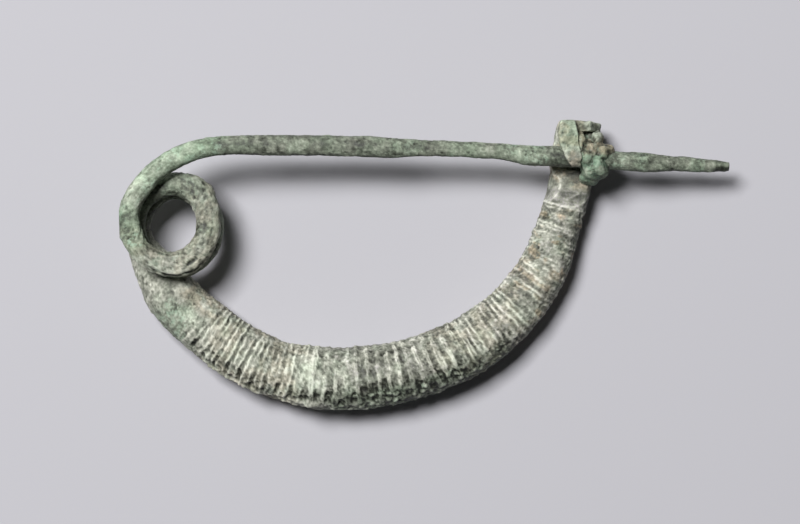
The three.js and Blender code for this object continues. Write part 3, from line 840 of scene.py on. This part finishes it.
def tint(fac, base, colour):
    """Multiplies the colour, as far as fac."""
    m = node("ShaderNodeMix", data_type="RGBA", blend_type="MULTIPLY", clamp_factor=True)
    put(m.inputs[0], fac)
    put(m.inputs[6], base)
    put(m.inputs[7], colour)
    return m.outputs[2]


def centred(v, gain):
    return math_("MULTIPLY", math_("SUBTRACT", v, 0.5), gain)


obj = node("ShaderNodeTexCoord").outputs["Object"]
flow_v = attr("flow", True)
tone_a, green_a, mint_a, brown_a, lav_glint_a, lump_a, bow_a = (attr(k) for k in ("tone", "green", "mint", "brown", "lavender_and_glints", "lump", "bow"))

mid = noise_(obj, 1100, 4, 0.6, 2)           # 0.9 mm
small = noise_(obj, 2700, 3, 0.6, 3)         # 0.4 mm
grit = noise_(obj, 6500, 3, 0.6, 4)          # 0.15 mm

tone = math_("ADD", tone_a, math_("ADD", centred(mid, 0.44), math_("ADD", centred(small, 0.40), centred(grit, 0.30))))
base = ramp(tone, [(0.00, lin(30, 31, 26)), (0.16, lin(58, 59, 51)), (0.34, lin(96, 98, 88)), (0.52, lin(131, 133, 121)), (0.68, lin(158, 159, 147)), (0.84, lin(188, 189, 175)), (1.00, lin(216, 217, 203))])
base = tint(green_a, base, (0.80, 1.03, 0.86, 1))
base = tint(math_("MULTIPLY", brown_a, rng(mid, 0.30, 0.50)), base, (1.00, 0.84, 0.72, 1))
# lavender tint, which also carries the painted highlight glints
base = tint(math_("MULTIPLY", lav_glint_a, rng(small, 0.42, 0.60)), base, (1.04, 0.97, 1.12, 1))
base = mix(math_("MULTIPLY", math_("MULTIPLY", mint_a, rng(math_("ADD", mid, centred(small, 0.6)), 0.46, 0.62)), 0.62), base, lin(166, 194, 170))
base = mix(math_("MULTIPLY", math_("MULTIPLY", lump_a, rng(math_("ADD", mid, centred(grit, 0.8)), 0.42, 0.60)), 0.42), base, lin(100, 134, 110))
base = mix(math_("MULTIPLY", rng(grit, 0.62, 0.72), math_("MULTIPLY", green_a, 0.35)), base, lin(176, 200, 178))
rough_dark = rng(tone, 0.42, 0.20)

bs = node("ShaderNodeBsdfPrincipled")
L(base, bs.inputs["Base Color"])
bs.inputs["Metallic"].default_value = 0.0
bs.inputs["Specular IOR Level"].default_value = 0.42
rough = math_("ADD", 0.82, math_("MULTIPLY", rough_dark, -0.24))
rough = math_("ADD", rough, math_("MULTIPLY", rng(small, 0.52, 0.68), -0.16))
L(rough, bs.inputs["Roughness"])
b1 = node("ShaderNodeBump")
b1.inputs["Strength"].default_value = 0.75
b1.inputs["Distance"].default_value = 0.00010
L(math_("ADD", math_("MULTIPLY", small, 0.7), math_("MULTIPLY", grit, 0.45)), b1.inputs["Height"])
L(b1.outputs[0], bs.inputs["Normal"])
outn = node("ShaderNodeOutputMaterial")
L(bs.outputs[0], outn.inputs["Surface"])
brooch.data.materials.clear()
brooch.data.materials.append(mat)

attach(brooch, "root")
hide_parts("fibula")

# ------------------------------------------------------------------ floor, light, camera
fm = bpy.data.materials.new("floor")
fm.use_nodes = True
fb = fm.node_tree.nodes["Principled BSDF"]
fb.inputs["Base Color"].default_value = lin(178, 177, 182)
fb.inputs["Roughness"].default_value = 0.95
fb.inputs["Specular IOR Level"].default_value = 0.1
me = bpy.data.meshes.new("floor")
R = 3.0
me.from_pydata([(-R, -R, -0.00002), (R, -R, -0.00002), (R, R, -0.00002), (-R, R, -0.00002)], [], [(0, 1, 2, 3)])
floor = bpy.data.objects.new("floor", me)
floor.data.materials.append(fm)
bpy.context.scene.collection.objects.link(floor)


def area(name, towards, distance, size, watts, colour=(1, 1, 1)):
    d = bpy.data.lights.new(name, "AREA")
    d.shape, d.size, d.energy, d.color = "SQUARE", size, watts, colour
    o = bpy.data.objects.new(name, d)
    v = Vector(towards).normalized()
    o.location = v * distance
    o.rotation_mode = "QUATERNION"
    o.rotation_quaternion = v.to_track_quat("Z", "Y")
    bpy.context.scene.collection.objects.link(o)
    return o


area("key", (-0.34, 0.36, 1.0), 1.2, 0.38, 21.0)
w = bpy.data.worlds.new("studio")
bpy.context.scene.world = w
w.use_nodes = True
w.node_tree.nodes["Background"].inputs["Color"].default_value = (0.95, 0.97, 1.0, 1)
w.node_tree.nodes["Background"].inputs["Strength"].default_value = 0.035

cam_d = bpy.data.cameras.new("camera")
cam_d.lens, cam_d.sensor_width, cam_d.sensor_fit = 135.0, 36.0, "HORIZONTAL"
cam_d.clip_start, cam_d.clip_end = 0.02, 20.0
cam = bpy.data.objects.new("camera", cam_d)
cam.location = (-SHIFT[0] / 1000.0, -SHIFT[1] / 1000.0, 0.450)
cam.rotation_euler = (0.0, 0.0, 0.0)
bpy.context.scene.collection.objects.link(cam)
bpy.context.scene.camera = cam
bpy.context.scene.view_settings.view_transform = "Standard"
